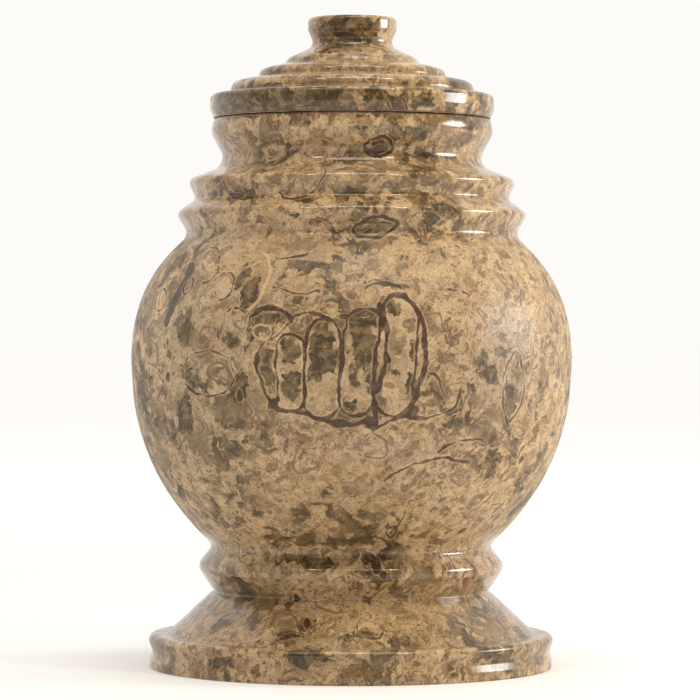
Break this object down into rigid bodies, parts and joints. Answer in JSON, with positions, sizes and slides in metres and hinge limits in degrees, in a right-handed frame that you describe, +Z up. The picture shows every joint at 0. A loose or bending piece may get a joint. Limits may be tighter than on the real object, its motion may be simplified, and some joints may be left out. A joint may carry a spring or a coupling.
{
  "type": "cremation urn",
  "caption": "Round-bellied turned stone urn on a stepped foot, with ringed shoulders and a stepped lid with a knob that lifts off.",
  "frame": {"origin": "centre of the underside of the foot, on the turning axis", "axes": "+Z up along the turning axis, X and Y level; the pictured side faces -Y"},
  "size_m": [0.2038, 0.2038, 0.3019],
  "materials": {
    "fossil_limestone": "high polish"
  },
  "bodies": {
    "root": {"urn_body": "fossil_limestone", "lid": "fossil_limestone"}
  },
  "joints": []
}
